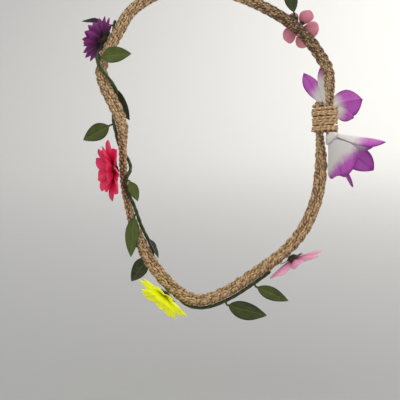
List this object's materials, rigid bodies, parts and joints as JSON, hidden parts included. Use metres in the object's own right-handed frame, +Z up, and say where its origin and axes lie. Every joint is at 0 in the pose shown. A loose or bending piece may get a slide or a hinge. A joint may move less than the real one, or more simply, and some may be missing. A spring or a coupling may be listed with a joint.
{
  "type": "flower crown",
  "caption": "Loop of plaited jute with whipped ends, a leafy wire vine wound along it and fabric flowers on it, shown hanging round a neck.",
  "frame": {"origin": "where the back of the neck meets the inside of the rope, at the top of the hanging loop", "axes": "+X to the wearer's left, -Y forward, +Z up"},
  "size_m": [0.1948, 0.1382, 0.2219],
  "materials": {
    "jute": "natural jute, rough",
    "twine": "thin jute twine, rough",
    "stem_tape": "green florist's tape over wire, dull",
    "leaf_fabric": "green printed cloth, matt",
    "purple_fabric": "deep purple cloth, matt",
    "dark_centre": "dark flocked button",
    "hot_pink_fabric": "hot pink cloth, satin",
    "yellow_fabric": "bright yellow cloth, satin",
    "golden_centre": "golden flocked button",
    "pale_pink_fabric": "pale pink cloth, satin",
    "rose_fabric": "rose pink cloth, satin",
    "orchid_fabric": "cloth printed white at the throat and magenta at the edge, satin",
    "orchid_white": "off-white plastic, matt",
    "calyx_plastic": "dark green plastic, matt"
  },
  "bodies": {
    "rope": {"binding_twine": "twine", "braid_strand_1": "jute", "braid_strand_2": "jute", "braid_strand_3": "jute", "high_orchid_stem": "orchid_white", "low_orchid_stem": "orchid_white", "pale_pink_calyx": "calyx_plastic", "pink_daisy_calyx": "calyx_plastic", "purple_aster_calyx": "calyx_plastic", "top_blossom_calyx": "calyx_plastic", "vine_stem_long": "stem_tape", "vine_stem_top": "stem_tape", "yellow_daisy_calyx": "calyx_plastic"},
    "purple_aster_head": {"purple_aster_outer_petals": "purple_fabric", "purple_aster_inner_petals": "purple_fabric", "purple_aster_centre": "dark_centre"},
    "pink_daisy_head": {"pink_daisy_back_petals": "hot_pink_fabric", "pink_daisy_front_petals": "hot_pink_fabric", "pink_daisy_centre": "golden_centre"},
    "yellow_daisy_head": {"yellow_daisy_back_petals": "yellow_fabric", "yellow_daisy_front_petals": "yellow_fabric", "yellow_daisy_centre": "golden_centre"},
    "pale_pink_head": {"pale_pink_petals": "pale_pink_fabric", "pale_pink_centre": "golden_centre"},
    "top_blossom_head": {"top_blossom_petals": "rose_fabric", "top_blossom_centre": "golden_centre"},
    "low_orchid_head": {"low_orchid_sepals": "orchid_fabric", "low_orchid_petals": "orchid_fabric", "low_orchid_lip": "orchid_fabric", "low_orchid_column": "orchid_white"},
    "high_orchid_head": {"high_orchid_sepals": "orchid_fabric", "high_orchid_petals": "orchid_fabric", "high_orchid_lip": "orchid_fabric", "high_orchid_column": "orchid_white"},
    "leaf_01": {"leaf_01": "leaf_fabric"},
    "leaf_02": {"leaf_02": "leaf_fabric"},
    "leaf_03": {"leaf_03": "leaf_fabric"},
    "leaf_04": {"leaf_04": "leaf_fabric"},
    "leaf_05": {"leaf_05": "leaf_fabric"},
    "leaf_06": {"leaf_06": "leaf_fabric"},
    "leaf_07": {"leaf_07": "leaf_fabric"},
    "leaf_08": {"leaf_08": "leaf_fabric"},
    "leaf_09": {"leaf_09": "leaf_fabric"},
    "leaf_10": {"leaf_10": "leaf_fabric"},
    "leaf_11": {"leaf_11": "leaf_fabric"}
  },
  "joints": [
    {"name": "purple_aster_turn", "type": "hinge", "parent": "rope", "child": "purple_aster_head", "pos_m": [-0.06596, -0.05279, -0.03955], "axis": [-0.8424, 0.3811, 0.3811], "continuous": true},
    {"name": "pink_daisy_turn", "type": "hinge", "parent": "rope", "child": "pink_daisy_head", "pos_m": [-0.05532, -0.09577, -0.12288], "axis": [-0.9347, -0.3518, -0.0503], "continuous": true},
    {"name": "yellow_daisy_turn", "type": "hinge", "parent": "rope", "child": "yellow_daisy_head", "pos_m": [-0.0224, -0.11232, -0.20194], "axis": [-0.6188, -0.3593, -0.6986], "continuous": true},
    {"name": "pale_pink_turn", "type": "hinge", "parent": "rope", "child": "pale_pink_head", "pos_m": [0.05985, -0.10529, -0.17985], "axis": [0.4587, -0.1396, -0.8775], "continuous": true},
    {"name": "top_blossom_turn", "type": "hinge", "parent": "rope", "child": "top_blossom_head", "pos_m": [0.06882, -0.0381, -0.03069], "axis": [0.5088, 0.8548, -0.1018], "range_deg": [-25, 25]},
    {"name": "low_orchid_turn", "type": "hinge", "parent": "rope", "child": "low_orchid_head", "pos_m": [0.0845, -0.1005, -0.103], "axis": [0.7425, -0.1003, -0.6623], "range_deg": [-20, 20]},
    {"name": "high_orchid_turn", "type": "hinge", "parent": "rope", "child": "high_orchid_head", "pos_m": [0.0835, -0.074, -0.0835], "axis": [0, 0.9507, -0.3102], "range_deg": [-20, 20]},
    {"name": "leaf_01_bend", "type": "hinge", "parent": "rope", "child": "leaf_01", "pos_m": [-0.06119, -0.04177, -0.02872], "axis": [-0.2059, -0.9253, 0.3184], "range_deg": [-25, 15], "stiffness_Nm_per_rad": 0.0005},
    {"name": "leaf_02_bend", "type": "hinge", "parent": "rope", "child": "leaf_02", "pos_m": [-0.0663, -0.06787, -0.05065], "axis": [-0.014, 0.2998, 0.9539], "range_deg": [-25, 20], "stiffness_Nm_per_rad": 0.0005},
    {"name": "leaf_03_bend", "type": "hinge", "parent": "rope", "child": "leaf_03", "pos_m": [-0.05865, -0.07337, -0.0688], "axis": [0.9097, -0.2012, 0.3633], "range_deg": [0, 25], "stiffness_Nm_per_rad": 0.0005},
    {"name": "leaf_04_bend", "type": "hinge", "parent": "rope", "child": "leaf_04", "pos_m": [-0.05832, -0.08468, -0.09484], "axis": [0.4863, -0.0819, -0.87], "range_deg": [-25, 20], "stiffness_Nm_per_rad": 0.0005},
    {"name": "leaf_05_bend", "type": "hinge", "parent": "rope", "child": "leaf_05", "pos_m": [-0.04529, -0.1013, -0.12919], "axis": [0.8944, 0.3578, 0.2683], "range_deg": [-25, 12], "stiffness_Nm_per_rad": 0.0005},
    {"name": "leaf_06_bend", "type": "hinge", "parent": "rope", "child": "leaf_06", "pos_m": [-0.04208, -0.10223, -0.15152], "axis": [0.9784, -0.2054, -0.0239], "range_deg": [-25, 0], "stiffness_Nm_per_rad": 0.0005},
    {"name": "leaf_07_bend", "type": "hinge", "parent": "rope", "child": "leaf_07", "pos_m": [-0.03302, -0.10333, -0.16635], "axis": [0.3749, 0.9213, 0.1036], "range_deg": [-25, 0], "stiffness_Nm_per_rad": 0.0005},
    {"name": "leaf_08_bend", "type": "hinge", "parent": "rope", "child": "leaf_08", "pos_m": [-0.03271, -0.09944, -0.17882], "axis": [0.7232, -0.3476, -0.5968], "range_deg": [-20, 20], "stiffness_Nm_per_rad": 0.0005},
    {"name": "leaf_09_bend", "type": "hinge", "parent": "rope", "child": "leaf_09", "pos_m": [0.01672, -0.11212, -0.20776], "axis": [0.2077, -0.177, 0.9621], "range_deg": [-25, 20], "stiffness_Nm_per_rad": 0.0005},
    {"name": "leaf_10_bend", "type": "hinge", "parent": "rope", "child": "leaf_10", "pos_m": [0.0355, -0.11074, -0.19639], "axis": [0.3887, 0.134, 0.9115], "range_deg": [-25, 20], "stiffness_Nm_per_rad": 0.0005},
    {"name": "leaf_11_bend", "type": "hinge", "parent": "rope", "child": "leaf_11", "pos_m": [0.06522, -0.03742, -0.02087], "axis": [-0.9598, 0.1305, -0.2484], "range_deg": [-25, 20], "stiffness_Nm_per_rad": 0.0005}
  ]
}
